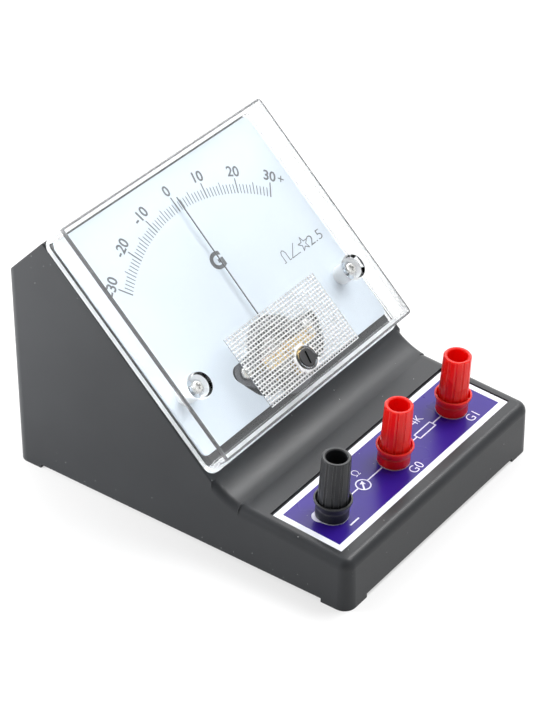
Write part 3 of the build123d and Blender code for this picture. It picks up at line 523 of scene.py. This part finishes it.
def letterShape(text, centre, height, width=None, turn=0.0, weight=0.0, thickness=0.03):
    # a word of given height, centred and turned on its face, in mm
    curve = bpy.data.curves.new("word", "FONT")
    curve.body = text
    curve.extrude = 0.5
    curve.offset = weight
    curve.resolution_u = 5
    word = bpy.data.objects.new("word", curve)
    bpy.context.scene.collection.objects.link(word)
    bpy.context.view_layer.update()
    graph = bpy.context.evaluated_depsgraph_get()
    mesh = bpy.data.meshes.new_from_object(word.evaluated_get(graph))
    xs = [v.co.x for v in mesh.vertices]
    ys = [v.co.y for v in mesh.vertices]
    tall = height / (max(ys) - min(ys))
    wide = tall if width is None else width / (max(xs) - min(xs))
    middle = Matrix.Translation((-(max(xs) + min(xs)) / 2, -(max(ys) + min(ys)) / 2, 0.5))
    size = Matrix.Diagonal((wide, tall, thickness, 1.0))
    place = Matrix.Translation((*centre, 0)) @ Matrix.Rotation(math.radians(turn), 4, "Z")
    shape = printShape(mesh, place @ size @ middle)
    bpy.data.objects.remove(word, do_unlink=True)
    bpy.data.meshes.remove(mesh)
    return shape


def plateShape(points, thickness=0.03):
    # a closed flat shape from its outline, counter-clockwise
    shape = bmesh.new()
    face = shape.faces.new([shape.verts.new((x, y, 0)) for x, y in points])
    raised = bmesh.ops.extrude_face_region(shape, geom=[face])
    top = [item for item in raised["geom"] if isinstance(item, bmesh.types.BMVert)]
    bmesh.ops.translate(shape, verts=top, vec=(0, 0, thickness))
    bmesh.ops.recalc_face_normals(shape, faces=shape.faces)
    return shape


def strokeShapes(points, width, closed=False):
    # a line of given width through the points
    shapes = []
    ends = points[1:] + points[:1] if closed else points[1:]
    for (x1, y1), (x2, y2) in zip(points, ends):
        long = math.hypot(x2 - x1, y2 - y1)
        ax, ay = (x2 - x1) / long * width / 2, (y2 - y1) / long * width / 2
        corners = [
            (x1 - ax + ay, y1 - ay - ax),
            (x2 + ax + ay, y2 + ay - ax),
            (x2 + ax - ay, y2 + ay + ax),
            (x1 - ax - ay, y1 - ay + ax),
        ]
        shapes.append(plateShape(corners))
    return shapes


def ringShape(centre, radius, width, steps=40, thickness=0.03):
    # a closed flat ring
    shape = bmesh.new()
    loops = []
    for distance, height in (
        (radius - width / 2, 0),
        (radius + width / 2, 0),
        (radius + width / 2, thickness),
        (radius - width / 2, thickness),
    ):
        loop = []
        for step in range(steps):
            turn = 2 * math.pi * step / steps
            loop.append(
                shape.verts.new(
                    (centre[0] + distance * math.cos(turn), centre[1] + distance * math.sin(turn), height)
                )
            )
        loops.append(loop)
    for index in range(4):
        near, far = loops[index], loops[(index + 1) % 4]
        for step in range(steps):
            after = (step + 1) % steps
            shape.faces.new((near[step], near[after], far[after], far[step]))
    bmesh.ops.recalc_face_normals(shape, faces=shape.faces)
    return shape


def discPoints(centre, radius, steps=48):
    turns = [2 * math.pi * step / steps for step in range(steps)]
    return [(centre[0] + radius * math.cos(t), centre[1] + radius * math.sin(t)) for t in turns]


def addPiece(name, shapes, matrix, finish, body="root", flatFaces=False):
    # joins shapes drawn in a face's millimetres into one piece at the origin
    mesh = bpy.data.meshes.new(name)
    whole = bmesh.new()
    for shape in shapes:
        part = bpy.data.meshes.new("part")
        shape.to_mesh(part)
        whole.from_mesh(part)
        shape.free()
        bpy.data.meshes.remove(part)
    whole.transform(matrix)
    whole.to_mesh(mesh)
    whole.free()
    for each in [finish] if isinstance(finish, str) else finish:
        mesh.materials.append(finishes[each])
    piece = bpy.data.objects.new(name, mesh)
    bpy.context.scene.collection.objects.link(piece)
    if flatFaces:
        weighted = piece.modifiers.new("flatFaces", "WEIGHTED_NORMAL")
        weighted.mode = "FACE_AREA"
        weighted.weight = 100
        weighted.keep_sharp = True
        graph = bpy.context.evaluated_depsgraph_get()
        piece.data = bpy.data.meshes.new_from_object(piece.evaluated_get(graph))
        piece.modifiers.clear()
    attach(piece, body)
    return piece


# Print on the dial

dialPrint = {
    "height": 1.7,  # of the dial's surface above the slope
    "numberRadius": 61.0,
    "degreesPerUnit": 1.335,
    "numberHeight": 3.6,
    "numbers": [-30, -20, -10, 0, 10, 20, 30],
    "plusAngle": 44.1,
    "letterSize": (5.9, 5.5),
    "letterCentre": (0.5, -34.3),
    "lineWidth": 0.28,
}


def printDial(look):
    shapes = []
    for number in look["numbers"]:
        angle = number * look["degreesPerUnit"]
        turn = math.radians(angle)
        spot = (look["numberRadius"] * math.sin(turn), look["numberRadius"] * math.cos(turn))
        shapes.append(letterShape(str(number), spot, look["numberHeight"], turn=-angle, weight=0.02))
    turn = math.radians(look["plusAngle"])
    spot = (look["numberRadius"] * math.sin(turn), look["numberRadius"] * math.cos(turn))
    shapes.append(letterShape("+", spot, 2.3, turn=-look["plusAngle"]))
    high, wide = look["letterSize"]
    flat = Matrix.Translation((0, 0, look["height"] + 0.01))
    addPiece("dial_numbers", shapes, pivotMatrix @ flat, "dialInk")

    shapes = [letterShape("G", look["letterCentre"], high, width=wide, weight=0.04)]
    shapes.append(letterShape("2.5", (39.8, -46.3), 3.3, width=6.6, weight=-0.012))
    line = look["lineWidth"]
    # moving-coil sign
    sign = [(22.9, -47.5), (23.6, -47.5), (23.6, -44.8), (24.0, -43.9), (24.6, -43.6)]
    sign += [(25.2, -43.9), (25.6, -44.8), (25.6, -47.5), (26.3, -47.5)]
    shapes += strokeShapes(sign, line)
    # use at an angle
    shapes += strokeShapes([(30.4, -43.7), (26.9, -47.5), (31.0, -47.5)], line)
    # star for the test voltage
    star = []
    for step in range(10):
        reach = 2.35 if step % 2 == 0 else 0.95
        turn = math.radians(90 + 36 * step)
        star.append((34.2 + reach * math.cos(turn), -45.9 + reach * math.sin(turn)))
    shapes += strokeShapes(star, line, closed=True)
    addPiece("dial_signs", shapes, slopeMatrix @ flat, "dialInk")


printDial(dialPrint)
print("dial printed")


# Print on the deck label

labelPrint = {
    "height": -0.36,  # of the violet field's top below the deck
    "recessFront": 5.6,  # from the deck's front edge
    "lineWidth": 0.42,
    "postX": (-33.7, -1.4, 30.7),
    "collarRadius": 5.1,
    "circuitY": 12.55,
    "meter": {"centre": (-16.75, 12.4), "radius": 2.3},
    "box": (12.5, 21.0, 11.35, 13.65),
    "signHeight": 3.1,
}


def printLabel(look):
    line = look["lineWidth"]
    row = look["circuitY"]
    offset = faces["postRow"] - look["recessFront"] - row
    clear = math.sqrt(look["collarRadius"] ** 2 - offset**2) + 0.2
    leftPost, middlePost, rightPost = look["postX"]
    x, y = look["meter"]["centre"]
    radius = look["meter"]["radius"]
    boxLeft, boxRight, boxLow, boxHigh = look["box"]
    runs = [
        (leftPost + clear, x - radius),
        (x + radius, middlePost - clear),
        (middlePost + clear, boxLeft),
        (boxRight, rightPost - clear),
    ]
    shapes = []
    for start, end in runs:
        shapes += strokeShapes([(start, row), (end, row)], line)
    corners = [(boxLeft, boxLow), (boxRight, boxLow), (boxRight, boxHigh), (boxLeft, boxHigh)]
    shapes += strokeShapes(corners, line, closed=True)
    shapes.append(ringShape((x, y), radius, line))
    tip, foot = (x + 1.1, y + 1.35), (x - 1.35, y - 1.25)
    ax, ay = (tip[0] - foot[0]) / 3.57, (tip[1] - foot[1]) / 3.57
    neck = (tip[0] - 1.5 * ax, tip[1] - 1.5 * ay)
    shapes += strokeShapes([foot, neck], 0.55)
    shapes.append(plateShape([tip, (neck[0] - 0.95 * ay, neck[1] + 0.95 * ax), (neck[0] + 0.95 * ay, neck[1] - 0.95 * ax)]))
    shapes.append(plateShape(discPoints((-36.67, 13.9), 2.7)))
    shapes += strokeShapes([(-34.0, 4.8), (-30.1, 4.8)], 0.5)
    high = look["signHeight"]
    shapes.append(letterShape("G0", (0.2, 4.7), high, weight=-0.01))
    shapes.append(letterShape("G1", (31.9, 5.0), high, weight=-0.01))
    shapes.append(letterShape("4K", (18.9, 17.4), 2.9, weight=-0.01))
    shapes.append(letterShape("Ω", (-14.0, 17.3), 2.7, weight=-0.01))
    flat = Matrix.Translation((0, look["recessFront"], look["height"] + 0.01))
    addPiece("label_marks", shapes, deckMatrix @ flat, "labelInk")


printLabel(labelPrint)
print("label printed")


# Clear cover with the pitted patch over the movement

patch = {
    "width": 45.3,
    "length": 24.9,
    "topDrop": 54.6,
    "height": 10.65,
    "columns": 35,
    "rows": 20,
    "depth": 0.4,
    "dotShare": 0.6,  # side of a pit's clear floor, as a share of the pitch
    "clearCentre": (0.0, -74.2),
    "clearRadius": 4.55,
    "footHeight": 0.5,  # the walls' feet lie below this and get the painted white
    "wells": ((-39.4, -61.0), (39.4, -61.0)),
    "wellReach": 5.3,  # the wells' outer walls lie within this and get the painted white
    "wellHole": 4.1,
    "coverHeight": 10.3,
    "edgeReach": 0.75,  # the painted grey front edge is this wide, and as deep
}


def makePitTree():
    # a grid of square pits, left out round one place
    tree = bpy.data.node_groups.new("pittedPatch", "GeometryNodeTree")
    sockets = [
        ("Width", "NodeSocketFloat"),
        ("Length", "NodeSocketFloat"),
        ("Columns", "NodeSocketInt"),
        ("Rows", "NodeSocketInt"),
        ("Depth", "NodeSocketFloat"),
        ("Clear Centre", "NodeSocketVector"),
        ("Clear Radius", "NodeSocketFloat"),
        ("Dot Share", "NodeSocketFloat"),
        ("Floor Material", "NodeSocketMaterial"),
        ("Side Material", "NodeSocketMaterial"),
    ]
    tree.interface.new_socket("Geometry", in_out="INPUT", socket_type="NodeSocketGeometry")
    for label, kind in sockets:
        tree.interface.new_socket(label, in_out="INPUT", socket_type=kind)
    tree.interface.new_socket("Geometry", in_out="OUTPUT", socket_type="NodeSocketGeometry")
    start = tree.nodes.new("NodeGroupInput").outputs
    end = tree.nodes.new("NodeGroupOutput").inputs
    pitchX = mathNode(tree, "DIVIDE", start["Width"], start["Columns"])
    pitchY = mathNode(tree, "DIVIDE", start["Length"], start["Rows"])
    inputs = {
        "Size X": mathNode(tree, "SUBTRACT", start["Width"], pitchX),
        "Size Y": mathNode(tree, "SUBTRACT", start["Length"], pitchY),
        "Vertices X": start["Columns"],
        "Vertices Y": start["Rows"],
    }
    grid = addNode(tree, "GeometryNodeMeshGrid", inputs).outputs["Mesh"]
    inputs = {
        "Vertices": 4,
        "Side Segments": 1,
        "Radius Top": mathNode(tree, "MULTIPLY", start["Dot Share"], math.sqrt(0.5)),
        "Radius Bottom": math.sqrt(0.5),
        "Depth": 1.0,
    }
    cone = addNode(tree, "GeometryNodeMeshCone", inputs, fill_type="NGON").outputs
    inputs = {"Geometry": cone["Mesh"], "Material": start["Floor Material"]}
    floored = addNode(tree, "GeometryNodeSetMaterial", inputs).outputs[0]
    inputs = {"Geometry": floored, "Selection": cone["Side"], "Material": start["Side Material"]}
    pit = addNode(tree, "GeometryNodeSetMaterial", inputs).outputs[0]
    inputs = {"Geometry": pit, "Selection": cone["Bottom"]}
    pit = addNode(tree, "GeometryNodeDeleteGeometry", inputs, domain="FACE").outputs[0]
    turned = addNode(
        tree, "GeometryNodeTransform", {"Geometry": pit, "Rotation": (math.pi, 0.0, math.pi / 4)}
    )
    flipped = addNode(tree, "GeometryNodeFlipFaces", {"Mesh": turned.outputs[0]})
    size = addNode(tree, "ShaderNodeCombineXYZ", {0: pitchX, 1: pitchY, 2: start["Depth"]})
    place = addNode(tree, "GeometryNodeInputPosition").outputs[0]
    inputs = {0: place, 1: start["Clear Centre"]}
    away = addNode(tree, "ShaderNodeVectorMath", inputs, operation="DISTANCE").outputs["Value"]
    keep = mathNode(tree, "GREATER_THAN", away, start["Clear Radius"])
    inputs = {"Points": grid, "Selection": keep, "Instance": flipped.outputs[0], "Scale": size.outputs[0]}
    pits = addNode(tree, "GeometryNodeInstanceOnPoints", inputs).outputs[0]
    real = addNode(tree, "GeometryNodeRealizeInstances", {"Geometry": pits}).outputs[0]
    joined = addNode(tree, "GeometryNodeMergeByDistance", {"Geometry": real, "Distance": 0.005}).outputs[0]
    tree.links.new(joined, end["Geometry"])
    return tree


def runTree(tree, values):
    # evaluates a geometry tree with named values and returns the plain mesh
    holder = bpy.data.objects.new("holder", bpy.data.meshes.new("holder"))
    bpy.context.scene.collection.objects.link(holder)
    modifier = holder.modifiers.new("tree", "NODES")
    modifier.node_group = tree
    for item in tree.interface.items_tree:
        if item.item_type == "SOCKET" and item.in_out == "INPUT" and item.name in values:
            modifier[item.identifier] = values[item.name]
    graph = bpy.context.evaluated_depsgraph_get()
    mesh = bpy.data.meshes.new_from_object(holder.evaluated_get(graph))
    holder.modifiers.remove(modifier)
    bpy.data.objects.remove(holder, do_unlink=True)
    return mesh


def nodeCopy(name, matrix):
    # a merged copy of a CAD node, in a face's own millimetres
    shape = bmesh.new()
    shape.from_mesh(nodes[name].data)
    shape.transform(matrix.inverted())
    bmesh.ops.remove_doubles(shape, verts=shape.verts, dist=0.002)
    for face in shape.faces:
        face.smooth = True
    return shape


def markSharp(shape, degrees):
    # edges bent more than this stay sharp
    for edge in shape.edges:
        if len(edge.link_faces) == 2 and edge.calc_face_angle() > math.radians(degrees):
            edge.smooth = False


def makeCover(look):
    shape = nodeCopy("meter_cover", slopeMatrix)
    halfWidth = look["width"] / 2
    low, high = -look["topDrop"] - look["length"], -look["topDrop"]
    top = look["height"]
    flatTop = [
        face
        for face in shape.faces
        if all(abs(v.co.z - top) < 0.01 and abs(v.co.x) < halfWidth + 0.01 for v in face.verts)
    ]
    print("patch top faces:", len(flatTop))
    bmesh.ops.delete(shape, geom=flatTop, context="FACES")
    middle = (low + high) / 2
    centre = (look["clearCentre"][0], look["clearCentre"][1] - middle, 0.0)
    values = {
        "Width": look["width"],
        "Length": look["length"],
        "Columns": look["columns"],
        "Rows": look["rows"],
        "Depth": look["depth"],
        "Clear Centre": centre,
        "Clear Radius": look["clearRadius"],
        "Dot Share": look["dotShare"],
        "Floor Material": finishes["clearPlastic"],
        "Side Material": finishes["frostedPlastic"],
    }
    pits = runTree(makePitTree(), values)
    slots = [material.name if material else "none" for material in pits.materials]
    print("pit materials:", slots)
    for face in pits.polygons:
        face.material_index = int(slots[face.material_index] == "frostedPlastic")
    pits.transform(Matrix.Translation((0, middle, top)))
    moulded = len(shape.faces)
    shape.from_mesh(pits)
    bpy.data.meshes.remove(pits)
    shape.faces.ensure_lookup_table()
    for face in shape.faces[moulded:]:
        face.smooth = False
    rim = []
    for edge in shape.edges:
        spot = (edge.verts[0].co + edge.verts[1].co) / 2
        inside = abs(spot.x) < halfWidth - 0.1 and low + 0.1 < spot.y < high - 0.1
        if len(edge.link_faces) == 1 and inside and abs(spot.z - top) < 0.01:
            rim.append(edge)
    # the flat ground between the pits also gets the painted white
    filled = bmesh.ops.triangle_fill(shape, use_beauty=True, edges=rim, normal=(0, 0, 1))
    newFaces = [item for item in filled["geom"] if isinstance(item, bmesh.types.BMFace)]
    for face in newFaces:
        face.smooth = False
        face.material_index = 1
        face.normal_update()
        if face.normal.z < 0:
            face.normal_flip()
    print("pitted patch: rim edges", len(rim), "fill faces", len(newFaces))
    # faces given the painted white that stands in for refracted room light: the walls' feet and the wells' outer
    # walls
    paintedWhite = 0
    for face in shape.faces:
        face.normal_update()
        if face.normal.z < -0.9 and face.calc_center_median().z < look["footHeight"]:
            face.material_index = 1
            paintedWhite += 1
        spot = face.calc_center_median()
        away = min(math.hypot(spot.x - x, spot.y - y) for x, y in look["wells"])
        below = spot.z < top - 3.0 or away > look["wellHole"]
        if abs(face.normal.z) < 0.8 and 2.9 < away < look["wellReach"] and below:
            face.material_index = 1
            paintedWhite += 1
    print("frosted faces:", paintedWhite)
    front = [vertex.co for vertex in shape.verts if vertex.co.z > look["coverHeight"] - 0.5]
    right = max(spot.x for spot in front)
    upper = max(spot.y for spot in front)
    lower = min(spot.y for spot in front)
    print("cover front:", right, upper, lower)
    reach = look["edgeReach"]
    cuts = [((right - reach, 0, 0), (1, 0, 0)), ((reach - right, 0, 0), (1, 0, 0))]
    cuts += [((0, upper - reach, 0), (0, 1, 0)), ((0, lower + reach, 0), (0, 1, 0))]
    cuts.append(((0, 0, look["coverHeight"] - reach), (0, 0, 1)))
    for place, across in cuts:
        outer = []
        for face in shape.faces:
            spot = face.calc_center_median()
            inwards = min(right - abs(spot.x), upper - spot.y, spot.y - lower)
            if across[2] == 0 and face.normal.z > 0.9 and spot.z > look["coverHeight"] - 0.1:
                outer.append(face)
            elif across[2] == 1 and abs(face.normal.z) < 0.1 and inwards < 0.3:
                outer.append(face)
        edges = {edge for face in outer for edge in face.edges}
        corners = {vertex for face in outer for vertex in face.verts}
        whole = [*outer, *edges, *corners]
        bmesh.ops.bisect_plane(shape, geom=whole, plane_co=place, plane_no=across, dist=0.0001)
    # the cover's front edge gets the painted grey, standing in for the dark case refracted there
    edged = 0
    for face in shape.faces:
        face.normal_update()
        spot = face.calc_center_median()
        inwards = min(right - abs(spot.x), upper - spot.y, spot.y - lower)
        high = spot.z > look["coverHeight"] - reach
        if high and inwards < reach and face.normal.z > -0.1:
            face.material_index = 2
            edged += 1
    print("edge faces:", edged)
    markSharp(shape, 28)
    looks = ("clearPlastic", "frostedPlastic", "paintedGreyEdge")
    cover = addPiece("cover_moulding", [shape], slopeMatrix, looks, flatFaces=True)
    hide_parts("meter_cover")


makeCover(patch)
print("cover made")


# Floor, light and camera

stage = {
    "floorSize": 6.0,
    "floorColour": (0.94, 0.94, 0.94),
    "floorWhite": 0.55,  # share of plain white that the camera sees in the floor
    "worldLight": 0.5,
    "room": [
        {"towards": (0.62, 0.36, 0.69), "inner": 12.0, "outer": 50.0, "change": 2.4},
        {"towards": (0.65, -0.56, 0.51), "inner": 22.0, "outer": 56.0, "change": -0.1},
        {"towards": (-0.65, -0.49, 0.58), "inner": 15.0, "outer": 45.0, "change": -0.5},
    ],
    "lamps": {
        "keyLamp": {"place": (0.4, -0.3, 0.85), "size": 0.45, "power": 5.2},
        "sideLamp": {"place": (-0.2, 0.22, 0.1), "size": 0.12, "power": 1.1},
        "backLamp": {"place": (0.55, 0.5, 1.0), "size": 0.4, "power": 2.4},
        "streakLamp": {"place": (0.8, -0.13, 0.96), "size": 0.16, "power": 2.9},
    },
    "aim": (0.0, 0.0, 0.04),
}
camera = {
    "place": (-0.4944, -0.36886, 0.47415),
    "azimuth": -53.19,
    "elevation": 35.4,
    "roll": -0.38,
    "lens": 122.27,
}


def seenDirectly(tree):
    # 1 for camera, mirror and glass rays that have met no matt surface yet
    path = addNode(tree, "ShaderNodeLightPath").outputs
    seen = mathNode(tree, "MAXIMUM", path["Is Camera Ray"], path["Is Glossy Ray"])
    seen = mathNode(tree, "MAXIMUM", seen, path["Is Transmission Ray"])
    first = mathNode(tree, "LESS_THAN", path["Diffuse Depth"], 0.5)
    return mathNode(tree, "MULTIPLY", seen, first)


def makeStage(look):
    mesh = bpy.data.meshes.new("studio_floor")
    half = look["floorSize"] / 2
    mesh.from_pydata([(-half, -half, 0), (half, -half, 0), (half, half, 0), (-half, half, 0)], [], [(0, 1, 2, 3)])
    floor = bpy.data.objects.new("studio_floor", mesh)
    bpy.context.scene.collection.objects.link(floor)
    material, tree, shader, place = newMaterial("paperFloor")
    setShader(shader, {"Base Color": (*look["floorColour"], 1.0), "Roughness": 0.8, "Specular IOR Level": 0.2})
    glow = addNode(tree, "ShaderNodeEmission", {"Color": (1, 1, 1, 1), "Strength": 1.0})
    share = mathNode(tree, "MULTIPLY", seenDirectly(tree), look["floorWhite"])
    mix = addNode(tree, "ShaderNodeMixShader", {0: share, 1: shader.outputs[0], 2: glow.outputs[0]})
    tree.links.new(mix.outputs[0], tree.nodes["Material Output"].inputs["Surface"])
    mesh.materials.append(material)

    world = bpy.data.worlds.new("softRoom")
    world.use_nodes = True
    bpy.context.scene.world = world
    tree = world.node_tree
    background = tree.nodes["Background"]
    background.inputs["Color"].default_value = (1.0, 1.0, 1.0, 1.0)
    strength = mapRange(tree, seenDirectly(tree), 0.0, 1.0, look["worldLight"], 1.0)
    inwards = addNode(tree, "ShaderNodeNewGeometry").outputs["Incoming"]
    room = 1.0
    for side in look["room"]:
        away = Vector(side["towards"]).normalized() * -1
        inputs = {0: inwards, 1: tuple(away)}
        facing = addNode(tree, "ShaderNodeVectorMath", inputs, operation="DOT_PRODUCT").outputs["Value"]
        near, far = (math.cos(math.radians(side[key])) for key in ("inner", "outer"))
        change = mapRange(tree, facing, far, near, 0.0, side["change"], smooth=True)
        room = mathNode(tree, "ADD", change, room)
    tree.links.new(mathNode(tree, "MULTIPLY", strength, room), background.inputs["Strength"])

    for name, lamp in look["lamps"].items():
        light = bpy.data.lights.new(name, "AREA")
        light.shape = "SQUARE"
        light.size = lamp["size"]
        light.energy = lamp["power"]
        body = bpy.data.objects.new(name, light)
        away = Vector(lamp["place"]) - Vector(look["aim"])
        body.matrix_world = Matrix.Translation(lamp["place"]) @ away.to_track_quat("Z", "Y").to_matrix().to_4x4()
        bpy.context.scene.collection.objects.link(body)


def makeCamera(look):
    azimuth, elevation, roll = (math.radians(look[key]) for key in ("azimuth", "elevation", "roll"))
    back = Vector(
        (
            math.sin(azimuth) * math.cos(elevation),
            -math.cos(azimuth) * math.cos(elevation),
            math.sin(elevation),
        )
    )
    right = Vector((0, 0, 1)).cross(back).normalized()
    up = back.cross(right)
    turnedRight = right * math.cos(roll) + up * math.sin(roll)
    turnedUp = up * math.cos(roll) - right * math.sin(roll)
    turn = Matrix((turnedRight, turnedUp, back)).transposed().to_4x4()
    data = bpy.data.cameras.new("photoCamera")
    data.lens = look["lens"]
    data.sensor_width = 36.0
    data.clip_start = 0.01
    body = bpy.data.objects.new("photoCamera", data)
    body.matrix_world = Matrix.Translation(look["place"]) @ turn
    bpy.context.scene.collection.objects.link(body)
    bpy.context.scene.camera = body


makeStage(stage)
makeCamera(camera)
bpy.context.scene.view_settings.view_transform = "Standard"
print("stage set")
